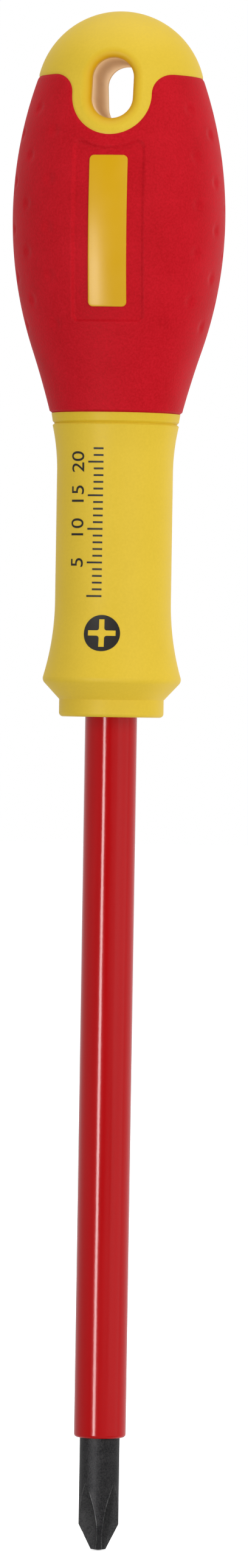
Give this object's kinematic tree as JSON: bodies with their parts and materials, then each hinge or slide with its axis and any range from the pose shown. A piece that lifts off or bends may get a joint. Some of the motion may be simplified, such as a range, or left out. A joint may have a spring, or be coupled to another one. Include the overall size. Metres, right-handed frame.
{
  "type": "insulated screwdriver",
  "caption": "Insulated cross-tip screwdriver: steel blade in an insulating sleeve, layered handle with finger guard, soft dimpled grip and hang hole.",
  "frame": {"origin": "end of the tip, on the blade's axis", "axes": "+Z along the blade from the tip to the handle; -Y is the front of the handle, with the label"},
  "size_m": [0.0318, 0.0313, 0.2306],
  "materials": {
    "blackened_steel": "black oxide, ground at the tip",
    "red_gloss": "smooth and glossy",
    "tan_core": "plain moulded",
    "yellow": "satin moulded",
    "yellow_band": "satin moulded",
    "red_soft": "soft matte",
    "label_gold": "smooth and glossy"
  },
  "bodies": {
    "root": {"blade": "blackened_steel", "blade_sleeve": "red_gloss", "tang_core": "tan_core", "handle_neck": "yellow", "grip_carrier": "yellow_band", "soft_grip": "red_soft", "end_cap": "yellow", "label_plate": "label_gold"}
  },
  "joints": []
}
